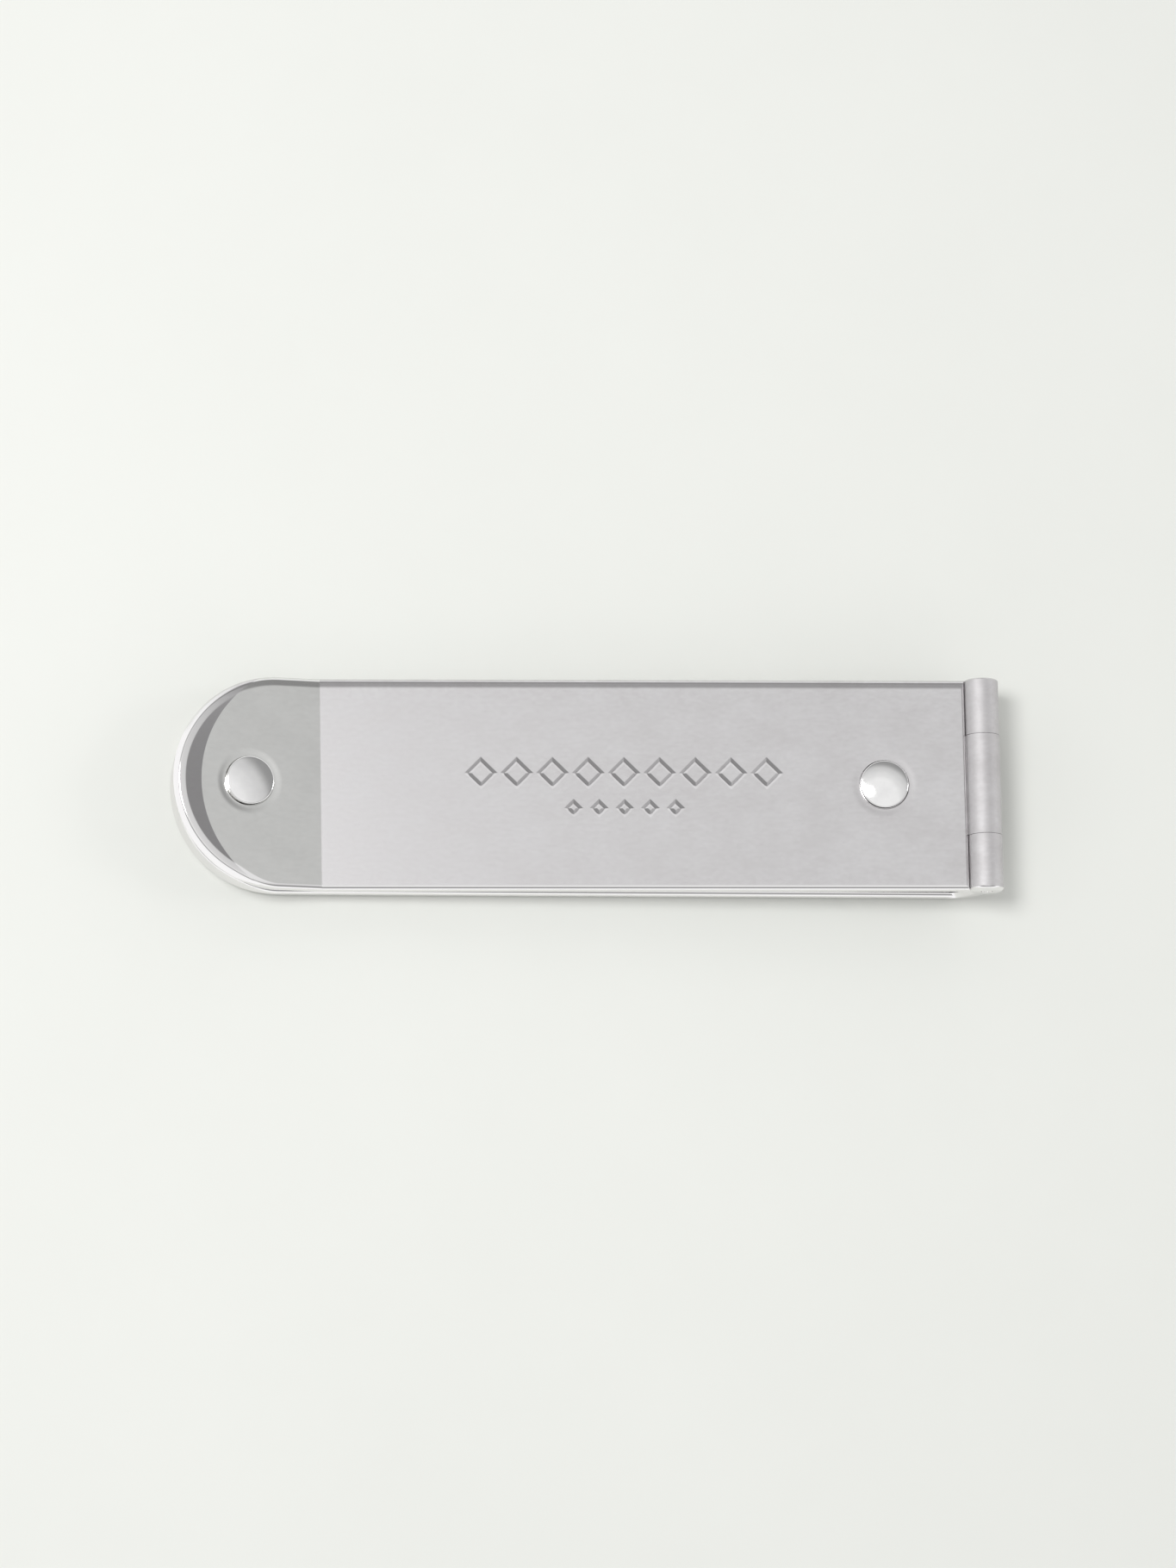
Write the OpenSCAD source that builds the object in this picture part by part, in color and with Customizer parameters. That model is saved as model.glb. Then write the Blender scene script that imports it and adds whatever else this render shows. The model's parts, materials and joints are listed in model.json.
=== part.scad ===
// Sprung money clip: two flat plates joined by a pin hinge, with a leaf spring riveted under
// the upper plate. Millimetres. The origin is the centre of the footprint, at the underside
// of the lower plate; +X runs from the open tip to the hinge, +Z is up.

/* [Plates] */
// Length from the rounded tips to the outside of the hinge barrel
clip_l = 65; // [58:0.5:72]
// Width of both plates, which the barrel fills from side to side
clip_w = 16.9; // [15:0.1:19]
// Thickness of the sheet that both plates are cut from
plate_t = 0.9; // [0.8:0.05:1]

/* [Tip of the upper plate] */
// Distance from the tip to the line where the upper plate is bent upward
flare_l = 11.6; // [11:0.1:13]
// Angle of the bent-up tip above the table
flare_angle = 10; // [6:0.5:12]
// Further angle of the curled lip along the tip's edge
lip_angle = 8; // [4:1:10]
// Distance from the bend line to the lip, measured along the tip
lip_r = 9.55; // [9.4:0.05:9.8]

/* [Hinge] */
// Outer radius of the knuckles
barrel_r = 1.35; // [1.3:0.05:1.5]
// Height of the hinge axis above the table
axis_z = 3.3; // [3.2:0.1:3.6]
// Radius of the hinge pin
pin_r = 0.45; // [0.4:0.05:0.5]
// Radial running clearance of the pin in the centre knuckle
pin_clearance = 0.05; // [0.03:0.01:0.08]
// Width of the centre knuckle, which belongs to the upper plate
centre_knuckle_w = 8; // [6:0.5:9]
// Side gap between neighbouring knuckles
knuckle_gap = 0.05; // [0.04:0.01:0.1]
// Gap between the outer knuckles and the end of the upper plate
groove_gap = 0.08; // [0.06:0.01:0.12]
// Inner radius of the bend that turns the lower plate up to the barrel
sweep_r = 0.8; // [0.6:0.1:1]

/* [Spring] */
// Thickness of the leaf spring
leaf_t = 0.3; // [0.2:0.05:0.35]
// Width of the strip between the two rivets
leaf_w = 8; // [7:0.5:9]
// Width of the head that bears on the outer knuckles
leaf_head_w = 15; // [14:0.5:15]
// Clearance under the spring where the closed clip grips
grip_gap = 0.05; // [0.03:0.01:0.1]

/* [Rivets] */
// Distance of the tip rivet from the tip
tip_rivet_inset = 5.8; // [5.5:0.1:6.5]
// Distance of the hinge rivet from the hinge axis
hinge_rivet_inset = 7.9; // [7.5:0.1:9]
// Diameter of the domed heads
rivet_head_d = 3.8; // [3.4:0.1:4.2]
// Height of the domed heads
rivet_head_h = 0.55; // [0.4:0.05:0.6]
// Diameter of the shanks
rivet_shank_d = 2; // [1.8:0.1:2.2]
// Diameter of the closed-over tails
rivet_tail_d = 2.8; // [2.6:0.1:3]
// Height of the closed-over tails
rivet_tail_h = 0.4; // [0.3:0.05:0.4]

/* [Ornament] */
// Depth of the engraving
engrave_depth = 0.12; // [0.05:0.01:0.15]
// Width of the engraved line
engrave_line = 0.4; // [0.3:0.05:0.5]
// Number of lozenges in the long row
long_row_count = 9; // [5:2:9]
// Height of a lozenge in the long row
long_row_h = 2.6; // [2:0.1:3]
// Number of lozenges in the short row
short_row_count = 5; // [3:2:5]
// Height of a lozenge in the short row
short_row_h = 1.5; // [1.2:0.1:1.8]

/* [Hidden] */
$fn = 96;
tip_x = -clip_l / 2;
axis_x = clip_l / 2 - barrel_r;
bend_x = tip_x + flare_l;
tip_r = clip_w / 2;
// The upper plate's middle plane runs from the bend up to the hinge axis.
bend_z = plate_t + grip_gap + leaf_t + plate_t / 2;
run_x = axis_x - bend_x;
run_z = axis_z - bend_z;
run_l = norm([run_x, run_z]);
run_angle = atan2(run_z, run_x);
outer_knuckle_y = (centre_knuckle_w + knuckle_gap) / 2;
inner_knuckle_y = (centre_knuckle_w - knuckle_gap) / 2;
sweep_angle = 45;
sweep_outer_r = sweep_r + plate_t;
// Foot of the line that rises at sweep_angle and touches the barrel from outside.
sweep_foot_x = axis_x + barrel_r / sin(sweep_angle) - axis_z / tan(sweep_angle);
sweep_x = sweep_foot_x - sweep_outer_r * tan(sweep_angle / 2);
groove_r = barrel_r + groove_gap;
leaf_top = -plate_t / 2;
leaf_bottom = leaf_top - leaf_t;
leaf_tip_l = flare_l - tip_rivet_inset;
// The strip runs on this far past the tip rivet and ends in an arc.
leaf_end_l = 3.2;
leaf_end_r = 4.4;
rivet_dome_r = (pow(rivet_head_d / 2, 2) + pow(rivet_head_h, 2)) / (2 * rivet_head_h);
ornament_shift = 2.8;
long_row_y = 0.9;
short_row_y = -1.9;
// Clear gaps between neighbouring lozenges.
long_row_gap = 0.2;
short_row_gap = 0.5;
long_row_pitch = long_row_h + long_row_gap;
short_row_pitch = short_row_h + short_row_gap;
bend_steps = 8;
// Depth to which neighbouring stretches of one sheet reach into each other.
tuck = 0.02;
notch_inset = 0.3;
// Lengths that pass right through the clip and right through the upper plate.
reach = 2 * clip_l;
drill_l = 4;
// Spare stock round the tip before it is trimmed, and height that the engraving cuts through.
flare_spare = 2;
engrave_h = 1;
silver = "#cfcdce";
tip_silver = "#bab9b7";
bright = "#e6e6e6";
steel = "#a9a9ab";

// Plan outline shared by both plates: a half-round tip and straight sides.
module plan(x_end) {
    linear_extrude(height = reach, center = true) {
        translate([tip_x + tip_r, 0]) circle(r = tip_r);
        translate([tip_x + tip_r, -clip_w / 2]) square([x_end - tip_x - tip_r, clip_w]);
    }
}

// Extrudes a side profile, drawn in X and Z, between two Y values.
module side_extrude(y_from, y_to) {
    translate([0, y_to, 0]) rotate([90, 0, 0]) linear_extrude(height = y_to - y_from) children();
}

// Frame of the upper plate's straight run: the origin on the hinge axis, -X towards the bend.
module on_run() {
    translate([axis_x, 0, axis_z]) rotate([0, -run_angle, 0]) children();
}

// Frame of the bent-up tip: the origin on the bend line, -X towards the tip.
module on_flare() {
    translate([bend_x, 0, bend_z]) rotate([0, flare_angle, 0]) children();
}

// X and Z of a point given in the straight run's frame, and of one given in the tip's frame.
function run_point(x, z) = [
    axis_x + x * cos(run_angle) - z * sin(run_angle),
    axis_z + x * sin(run_angle) + z * cos(run_angle),
];
function flare_point(x, z) = [
    bend_x + x * cos(flare_angle) + z * sin(flare_angle),
    bend_z - x * sin(flare_angle) + z * cos(flare_angle),
];

// Points of an arc of radius r about a centre in X and Z, in equal steps.
function arc(centre, r, from, to) = [
    for (i = [0 : bend_steps]) let (a = from + (to - from) * i / bend_steps)
        [centre[0] + r * cos(a), centre[1] + r * sin(a)]
];

// Side profile of the lower plate: flat, turned up in a bend, and rolled into the knuckle.
module lower_profile() {
    bend_centre = [sweep_x, sweep_outer_r];
    axis = [axis_x, axis_z];
    touch = [cos(-sweep_angle), sin(-sweep_angle)];
    polygon(concat(
        [[tip_x, 0]],
        arc(bend_centre, sweep_outer_r, -90, -sweep_angle),
        [axis + (barrel_r - tuck) * touch, axis + (barrel_r - plate_t + tuck) * touch],
        arc(bend_centre, sweep_r, -sweep_angle, -90),
        [[tip_x, plate_t]]
    ));
    translate(axis) circle(r = barrel_r);
}

module lower_plate() {
    color(silver) difference() {
        intersection() {
            plan(clip_l);
            side_extrude(-clip_w / 2, clip_w / 2) lower_profile();
        }
        translate([sweep_x + notch_inset, -outer_knuckle_y, -reach / 2])
            cube([reach, 2 * outer_knuckle_y, reach]);
        side_extrude(-clip_w, clip_w) translate([axis_x, axis_z]) circle(r = pin_r);
    }
}

// Flat bent-up tip with its conical lip, before it is trimmed to the plan outline.
module flare_disc() {
    rim_r = flare_l + flare_spare;
    rise = (rim_r - lip_r) * tan(lip_angle);
    rotate_extrude() polygon([
        [0, -plate_t / 2],
        [lip_r, -plate_t / 2],
        [rim_r, rise - plate_t / 2],
        [rim_r, rise + plate_t / 2],
        [lip_r, plate_t / 2],
        [0, plate_t / 2],
    ]);
}

// Square ring standing on its corner, as one engraved lozenge.
module lozenge(h) {
    side = h / sqrt(2);
    inner_side = side - 2 * engrave_line;
    rotate(45) difference() {
        square(side, center = true);
        square(inner_side, center = true);
    }
}

// Two rows of lozenges, one above the other and centred on the same line across the clip.
module ornament() {
    translate([ornament_shift - axis_x, 0, plate_t / 2 - engrave_depth]) linear_extrude(engrave_h) {
        for (i = [0 : long_row_count - 1])
            translate([(i - (long_row_count - 1) / 2) * long_row_pitch, long_row_y]) lozenge(long_row_h);
        for (i = [0 : short_row_count - 1])
            translate([(i - (short_row_count - 1) / 2) * short_row_pitch, short_row_y])
                lozenge(short_row_h);
    }
}

module rivet_hole() {
    cylinder(d = rivet_shank_d, h = drill_l, center = true);
}

module upper_plate() {
    color(tip_silver) difference() {
        union() {
            intersection() {
                plan(axis_x);
                union() {
                    on_flare() intersection() {
                        flare_disc();
                        translate([-reach, -reach / 2, -reach / 2]) cube([reach, reach, reach]);
                    }
                    on_run() translate([-run_l, -clip_w / 2, -plate_t / 2])
                        cube([run_l, clip_w, plate_t]);
                    side_extrude(-clip_w / 2, clip_w / 2) polygon([
                        [bend_x, bend_z + plate_t / 4],
                        run_point(tuck - run_l, tuck - plate_t / 2),
                        flare_point(-tuck, tuck - plate_t / 2),
                    ]);
                }
            }
            side_extrude(-inner_knuckle_y, inner_knuckle_y)
                translate([axis_x, axis_z]) circle(r = barrel_r);
        }
        side_extrude(-clip_w, clip_w) translate([axis_x, axis_z])
            circle(r = pin_r + pin_clearance);
        side_extrude(inner_knuckle_y, clip_w) translate([axis_x, axis_z]) circle(r = groove_r);
        side_extrude(-clip_w, -inner_knuckle_y) translate([axis_x, axis_z]) circle(r = groove_r);
        on_flare() translate([-leaf_tip_l, 0, 0]) rivet_hole();
        on_run() translate([-hinge_rivet_inset, 0, 0]) rivet_hole();
        on_run() ornament();
    }
}

// Plan outline of the spring: a strip with an arched end, and a wider head.
module leaf_plan() {
    end_x = bend_x - (leaf_tip_l + leaf_end_l) * cos(flare_angle);
    linear_extrude(height = reach, center = true) {
        intersection() {
            translate([end_x + leaf_end_r, 0]) circle(r = leaf_end_r);
            translate([end_x, -leaf_w / 2]) square([leaf_end_r, leaf_w]);
        }
        translate([end_x + leaf_end_r - tuck, -leaf_w / 2]) square([clip_l, leaf_w]);
        translate([axis_x - hinge_rivet_inset, -leaf_head_w / 2]) square([clip_l, leaf_head_w]);
    }
}

// The strip follows the underside of the upper plate from beyond the tip rivet to the barrel.
module leaf_spring() {
    color(steel) difference() {
        intersection() {
            side_extrude(-leaf_head_w / 2, leaf_head_w / 2) polygon([
                flare_point(-flare_l, leaf_top),
                flare_point(0, leaf_top),
                run_point(-run_l, leaf_top),
                run_point(0, leaf_top),
                run_point(0, leaf_bottom),
                run_point(-run_l, leaf_bottom),
                flare_point(0, leaf_bottom),
                flare_point(-flare_l, leaf_bottom),
            ]);
            leaf_plan();
        }
        side_extrude(-clip_w, clip_w) translate([axis_x, axis_z]) circle(r = groove_r);
        on_flare() translate([-leaf_tip_l, 0, 0]) rivet_hole();
        on_run() translate([-hinge_rivet_inset, 0, 0]) rivet_hole();
    }
}

// Domed rivet through the upper plate and the spring, its origin in the plate's middle plane.
module rivet() {
    color(bright) {
        translate([0, 0, plate_t / 2]) intersection() {
            translate([0, 0, rivet_head_h - rivet_dome_r]) sphere(r = rivet_dome_r);
            cylinder(d = rivet_head_d, h = rivet_head_h);
        }
        translate([0, 0, leaf_bottom]) cylinder(d = rivet_shank_d, h = plate_t + leaf_t);
        translate([0, 0, leaf_bottom - rivet_tail_h]) cylinder(d = rivet_tail_d, h = rivet_tail_h);
    }
}

module tip_rivet() {
    on_flare() translate([-leaf_tip_l, 0, 0]) rivet();
}

module hinge_rivet() {
    on_run() translate([-hinge_rivet_inset, 0, 0]) rivet();
}

module hinge_pin() {
    color(bright) translate([axis_x, 0, axis_z]) rotate([90, 0, 0])
        cylinder(r = pin_r, h = clip_w, center = true);
}

lower_plate();
upper_plate();
leaf_spring();
tip_rivet();
hinge_rivet();
hinge_pin();
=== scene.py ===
import json
from math import atan2, cos, pi, radians, sin, sqrt, tan

import bpy
import numpy as np
from mathutils import Matrix, Vector
from mathutils.geometry import delaunay_2d_cdt


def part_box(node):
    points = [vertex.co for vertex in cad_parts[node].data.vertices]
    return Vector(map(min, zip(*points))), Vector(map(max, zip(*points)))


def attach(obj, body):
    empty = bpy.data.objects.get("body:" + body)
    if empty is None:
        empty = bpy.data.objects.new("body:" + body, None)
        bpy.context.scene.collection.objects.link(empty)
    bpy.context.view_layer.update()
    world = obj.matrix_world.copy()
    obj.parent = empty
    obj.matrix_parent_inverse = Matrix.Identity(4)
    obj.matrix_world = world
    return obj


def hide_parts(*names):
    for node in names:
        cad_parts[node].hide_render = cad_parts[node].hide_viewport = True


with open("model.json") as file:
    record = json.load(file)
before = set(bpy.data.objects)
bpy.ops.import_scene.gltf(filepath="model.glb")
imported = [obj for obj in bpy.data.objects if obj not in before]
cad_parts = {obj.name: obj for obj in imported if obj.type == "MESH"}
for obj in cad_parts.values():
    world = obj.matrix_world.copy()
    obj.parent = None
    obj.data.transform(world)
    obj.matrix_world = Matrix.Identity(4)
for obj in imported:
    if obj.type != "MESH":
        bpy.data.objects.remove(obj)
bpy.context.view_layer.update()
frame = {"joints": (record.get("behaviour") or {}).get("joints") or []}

# Every length below is in millimetres; MM turns it into Blender's metres.
MM = 0.001

# A corner counts as lying on a surface within this distance, and a face as belonging to the
# barrel if its normal is at least this close to the barrel's (as a cosine).
ON_SURFACE = 0.01
BARREL_FACING = 0.97
# Edges sharper than this, in degrees, are shaded as edges.
SHARP_ANGLE = 25
LEAF_SHARP_ANGLE = 15

# ---------------------------------------------------------------- dimensions
joint = frame["joints"][0]
AXIS_X = joint["pos_m"][0] / MM
AXIS_Z = joint["pos_m"][2] / MM
TIP_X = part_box("lower_plate")[0].x / MM
HALF_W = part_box("lower_plate")[1].y / MM
BARREL_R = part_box("lower_plate")[1].x / MM - AXIS_X

# Sheet. Its edge is half-round along the near side, has a small round and a shallow facet along
# the far side, and is ground at two slopes round the tip. The first three are the edge's widths.
PLATE_T = 0.9
HALF_T = PLATE_T / 2
EDGE_NEAR = 0.45
EDGE_FAR = 0.9
EDGE_TIP = 1.0
FAR_ROUND = 0.32
FAR_FACET_W = 0.72
TIP_FACET_W = 0.93
SHALLOW_SLOPE = 0.17
STEEP_W = 0.42
UPPER_STEEP = 1.05
LOWER_STEEP = 1.4
FACET_BLEND = 0.035
FACET_REACH = 0.3
UNDER_ROUND = 0.1
# Height of the upright wall that is left at the rim.
RIM_WALL = 0.004
# Turn round the tip, in degrees from its end, over which one kind of edge passes into the next.
NEAR_TURN = (60, 88)
FAR_TURN = (-25, -85)

# Bent-up tip of the upper plate and its conical lip. The spring and a narrow gap lie between
# the plates at the bend.
LEAF_T = 0.3
GRIP_GAP = 0.05
FLARE_L = 11.6
BEND_X = TIP_X + FLARE_L
BEND_Z = PLATE_T + GRIP_GAP + LEAF_T + HALF_T
FLARE = radians(10)
LIP_R = 9.55
LIP_ANGLE = radians(8)
RUN_ANGLE = atan2(AXIS_Z - BEND_Z, AXIS_X - BEND_X)
TIP_R = HALF_W
TIP_CENTRE_X = TIP_X + TIP_R

# Hinge. The knuckles' outer edges are rounded: hardly at the splits, most at the near end.
KNUCKLE_Y = 4.0
KNUCKLE_GAP = 0.02
PIN_R = 0.45
PIN_CLEARANCE = 0.05
SPLIT_ROUND = 0.015
NEAR_ROUND = 0.3
FAR_END_ROUND = 0.14
# End of the upper plate's sheet, measured from the axis, and the block that carries its knuckle.
GROOVE_X = -1.357
END_ROUND = 0.3
TONGUE_X = (-2.0, -0.75)
TONGUE_HALF_W = 3.95
TONGUE_HALF_T = 0.2

# Turned-up end of the lower plate.
SWEEP_ANGLE = radians(45)
SWEEP_R = 0.8 + HALF_T
SWEEP_FOOT_X = AXIS_X + BARREL_R / sin(SWEEP_ANGLE) - AXIS_Z / tan(SWEEP_ANGLE)
SWEEP_X = SWEEP_FOOT_X - (SWEEP_R + HALF_T) * tan(SWEEP_ANGLE / 2)
SWEEP_ARC = SWEEP_R * SWEEP_ANGLE
SWEEP_TOP = AXIS_Z - (BARREL_R - HALF_T) * cos(SWEEP_ANGLE)
SWEEP_RISE = (SWEEP_TOP - HALF_T - SWEEP_R * (1 - cos(SWEEP_ANGLE))) / sin(SWEEP_ANGLE)
# End of the sheet, which stops a little inside the knuckles, and the notch that clears the
# centre knuckle. Both are lengths along the sheet.
LOWER_END = SWEEP_X + SWEEP_ARC + SWEEP_RISE - 0.15
NOTCH_X = SWEEP_X + 0.3
NOTCH_Y = KNUCKLE_Y + KNUCKLE_GAP / 2
NOTCH_ROUND = 0.1
# The sheet's sides draw in by this share towards the end, so that they sink into the knuckles,
# and its faces are tucked under the knuckles' surface by this depth.
SIDE_DRAW = 0.0025
SIDE_DRAW_X = 28.5
END_TUCK = 0.03

# Side profile of the solid corners below the outer knuckles: the open slope from the sheet up to
# the knuckle, the hidden back inside the metal, and the bevel along the clip's side.
GUSSET_SLOPE = [
    (27.6, 0.48), (28.5, 0.87), (28.8, 0.97), (29.1, 1.16), (29.4, 1.45), (29.65, 1.85), (29.85, 2.35)
]
GUSSET_BACK = [
    (30.6, 2.6), (31.2, 2.15), (30.9, 1.75), (30.2, 1.07), (29.53, 0.55), (29.05, 0.46), (28.5, 0.46)
]
GUSSET_FLOOR = 0.47
GUSSET_BEVEL = 0.36
GUSSET_INNER_Y = 4.03
GUSSET_INSET = 0.01

# Leaf spring.
LEAF_HALF_W = 4.0
LEAF_HEAD_HALF_W = 7.5
LEAF_HEAD_X = AXIS_X - 1.38
LEAF_CORNER = 0.5
LEAF_END_L = 3.2
LEAF_END_R = 4.4
LEAF_EASE = 0.06

# Rivets: distances from the bend line and from the hinge axis, heads, shanks, tails and seats.
TIP_RIVET = 5.8
HINGE_RIVET = 7.9
HEAD_R = 1.9
HEAD_H = 0.5
HEAD_ROLL = 0.1
SHANK_R = 0.98
TAIL_R = 1.4
TAIL_H = 0.4
TAIL_ROUND = 0.12
RIVET_HOLE_R = 1.1
SEAT_DEPTH = 0.03
SEAT_IN = 1.97
SEAT_OUT = 2.65
CREVICE_DEPTH = 0.15

# Engraving: two rows of lozenges.
ENGRAVE_DEPTH = 0.12
ENGRAVE_LINE = 0.4
ENGRAVE_X = 2.8
ROWS = [
    {"count": 9, "height": 2.6, "pitch": 2.8, "y": 0.9},
    {"count": 5, "height": 1.5, "pitch": 2.0, "y": -1.9},
]


# ---------------------------------------------------------------- mesh tools
def triangulate(lines, points=()):
    """Constrained triangles inside the outermost of the lines. A line is (points, closed)."""
    verts = []
    edges = []
    for line, closed in lines:
        first = len(verts)
        verts += [Vector(p) for p in line]
        edges += [(i, i + 1) for i in range(first, len(verts) - 1)]
        if closed:
            edges.append((len(verts) - 1, first))
    verts += [Vector(p) for p in points]
    found = delaunay_2d_cdt(verts, edges, [], 1, 1e-5)
    plan = np.array([tuple(v) for v in found[0]])
    tris = np.array(found[2])
    a, b, c = plan[tris[:, 0]], plan[tris[:, 1]], plan[tris[:, 2]]
    turn = (b[:, 0] - a[:, 0]) * (c[:, 1] - a[:, 1]) - (b[:, 1] - a[:, 1]) * (c[:, 0] - a[:, 0])
    tris[turn < 0] = tris[turn < 0][:, ::-1]
    return plan, tris[np.abs(turn) > 1e-9]


def fill_points(lines, inside, spacing):
    """Points of an even lattice that keep clear of the lines and lie where inside(x, y) says."""
    marks = np.array([p for line, _ in lines for p in line])
    low, high = marks.min(0), marks.max(0)
    found = []
    for j, y in enumerate(np.arange(low[1], high[1], spacing * sqrt(3) / 2)):
        for x in np.arange(low[0] + (j % 2) * spacing / 2, high[0], spacing):
            gap = np.hypot(marks[:, 0] - x, marks[:, 1] - y).min()
            if inside(x, y) and gap > 0.6 * spacing:
                found.append((x, y))
    return found


def solid_between(plan, tris, top, bottom):
    """Closed mesh between two surfaces over the same plan, given as functions of x and y arrays."""
    count = len(plan)
    upper = top(plan[:, 0], plan[:, 1])
    lower = bottom(plan[:, 0], plan[:, 1])
    sides = {}
    for t in tris:
        for a, b in ((t[0], t[1]), (t[1], t[2]), (t[2], t[0])):
            sides[(a, b)] = True
    rim = [(a, b) for a, b in sides if (b, a) not in sides]
    faces = [tuple(t) for t in tris]
    faces += [tuple(count + i for i in t[::-1]) for t in tris]
    faces += [(a, count + a, count + b, b) for a, b in rim]
    return np.vstack([upper, lower]), faces


def make_object(name, verts, faces):
    """Object in metres from vertices in millimetres."""
    mesh = bpy.data.meshes.new(name)
    points = [tuple(MM * float(c) for c in v) for v in verts]
    mesh.from_pydata(points, [], [tuple(int(i) for i in f) for f in faces])
    mesh.validate()
    mesh.update()
    made = bpy.data.objects.new(name, mesh)
    bpy.context.scene.collection.objects.link(made)
    return made


def revolve(name, profile, place, segments=96):
    """Solid of revolution of a profile of (radius, height), with place(r, angle, height) for points.
    A profile that starts at radius 0 runs from pole to pole, and any other is a closed loop."""
    verts = []
    rings = []
    for r, h in profile:
        if r == 0:
            rings.append([len(verts)])
            verts.append(place(0, 0, h))
        else:
            rings.append(list(range(len(verts), len(verts) + segments)))
            verts += [place(r, 2 * pi * i / segments, h) for i in range(segments)]
    faces = []
    closed = profile[0][0] > 0
    for k in range(len(rings) if closed else len(rings) - 1):
        one, two = rings[k], rings[(k + 1) % len(rings)]
        for i in range(segments):
            j = (i + 1) % segments
            if len(one) == 1:
                faces.append((one[0], two[i], two[j]))
            elif len(two) == 1:
                faces.append((one[i], two[0], one[j]))
            else:
                faces.append((one[i], two[i], two[j], one[j]))
    return make_object(name, verts, faces)


def join_solids(keep, others):
    """Boolean union of closed solids, left in the first object."""
    for other in others:
        union = keep.modifiers.new("union", "BOOLEAN")
        union.operation = "UNION"
        union.solver = "EXACT"
        union.object = other
    graph = bpy.context.evaluated_depsgraph_get()
    joined = bpy.data.meshes.new_from_object(keep.evaluated_get(graph))
    keep.modifiers.clear()
    keep.data = joined
    for other in others:
        bpy.data.objects.remove(other)
    return keep


def finish_shading(piece, sharp_angle):
    """Smooth shading split along edges sharper than the angle."""
    piece.data.shade_smooth()
    piece.data.set_sharp_from_angle(angle=radians(sharp_angle))
    return piece


# ---------------------------------------------------------------- shape of the sheets
def smooth_step(value, start, end):
    """Eases from 0 at the start to 1 at the end."""
    share = np.clip((value - start) / (end - start), 0, 1)
    return share**2 * (3 - 2 * share)


def edge_kind(x, y):
    """How much of the near side's edge and of the far side's edge a point has. The tip's has the rest."""
    turn = np.degrees(np.arctan2(-y, TIP_CENTRE_X - np.minimum(x, TIP_CENTRE_X)))
    return smooth_step(turn, *NEAR_TURN), smooth_step(turn, *FAR_TURN)


def edge_width(x, y):
    """Width of the edge's shaping, from the rim to the flat."""
    near, far = edge_kind(x, y)
    return EDGE_TIP + (EDGE_NEAR - EDGE_TIP) * near + (EDGE_FAR - EDGE_TIP) * far


def rim_distance(x, y):
    """Distance in plan from the outline that both plates share."""
    straight = HALF_W - np.abs(y)
    tip = TIP_R - np.hypot(x - TIP_CENTRE_X, y)
    return np.maximum(np.where(x < TIP_CENTRE_X, tip, straight), 0)


def edge_share(x, y):
    """Distance from the rim in edge widths: 0 at the rim, 1 where the flat begins."""
    return rim_distance(x, y) / edge_width(x, y)


def facet(d, width, slope):
    """Drop, at distance d from the rim, of a flat facet that starts softly at the given width."""
    ramp = (width - d + np.sqrt((width - d) ** 2 + FACET_BLEND**2)) / 2
    left_over = FACET_BLEND**2 / (4 * FACET_REACH)
    return slope * np.where(d < width + FACET_REACH, ramp - left_over, 0).clip(0)


def eased_drop(d, radius):
    """How far a small radius lowers the face at distance d from its corner."""
    inner = np.clip(radius - d, 0, radius)
    return radius - np.sqrt(np.maximum(radius**2 - inner**2, 0))


def edge_drops(x, y, steep):
    """How far the edge's shaping lowers the top face and raises the bottom face."""
    near, far = edge_kind(x, y)
    tip = 1 - near - far
    share = edge_share(x, y)
    rounded = eased_drop(share * EDGE_NEAR, EDGE_NEAR - RIM_WALL / 2)
    rolled = eased_drop(share * EDGE_FAR, FAR_ROUND) + facet(share * EDGE_FAR, FAR_FACET_W, SHALLOW_SLOPE)
    ground = facet(share * EDGE_TIP, STEEP_W, steep) + facet(share * EDGE_TIP, TIP_FACET_W, SHALLOW_SLOPE)
    top = near * rounded + far * rolled + tip * ground
    bottom = near * rounded + far * rolled + tip * eased_drop(share * EDGE_TIP, UNDER_ROUND)
    return top, np.minimum(bottom, PLATE_T - RIM_WALL - top)


# Shares of the edge at which the sheets have lines of vertices, closest together at the rim.
RINGS = [1 - sin(radians(a)) for a in range(90, -1, -6)]


def outline(share, stations):
    """Open line round a plate at one share of the edge: down the +Y side, round the tip and back."""
    far = HALF_W - EDGE_FAR * share
    near = HALF_W - EDGE_NEAR * share
    tip = []
    for a in np.linspace(pi / 2, 3 * pi / 2, 97)[1:-1]:
        width = edge_width(TIP_CENTRE_X + TIP_R * cos(a), TIP_R * sin(a))
        radius = TIP_R - float(width) * share
        tip.append((TIP_CENTRE_X + radius * cos(a), radius * sin(a)))
    return [(x, far) for x in stations] + tip + [(x, -near) for x in reversed(stations)]


def crossing(x):
    """Line across a plate at one x, with a vertex on each ring."""
    far = [(x, HALF_W - EDGE_FAR * share) for share in RINGS]
    near = [(x, EDGE_NEAR * share - HALF_W) for share in reversed(RINGS)]
    return far + near


def circle(cx, cy, radius, count=72, squeeze=1.0):
    """Points round a circle, which may be squeezed along X."""
    return [
        (cx + squeeze * radius * cos(2 * pi * i / count), cy + radius * sin(2 * pi * i / count))
        for i in range(count)
    ]


# ---------------------------------------------------------------- upper plate
def upper_mid(x, y):
    """Height of the upper plate's middle surface."""
    run = AXIS_Z + (x - AXIS_X) * tan(RUN_ANGLE)
    reach = np.hypot((BEND_X - x) / cos(FLARE), y)
    lip = np.clip(reach - LIP_R, 0, None) * tan(LIP_ANGLE) / cos(FLARE)
    return np.where(x < BEND_X, BEND_Z + (BEND_X - x) * tan(FLARE) + lip, run)


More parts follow.
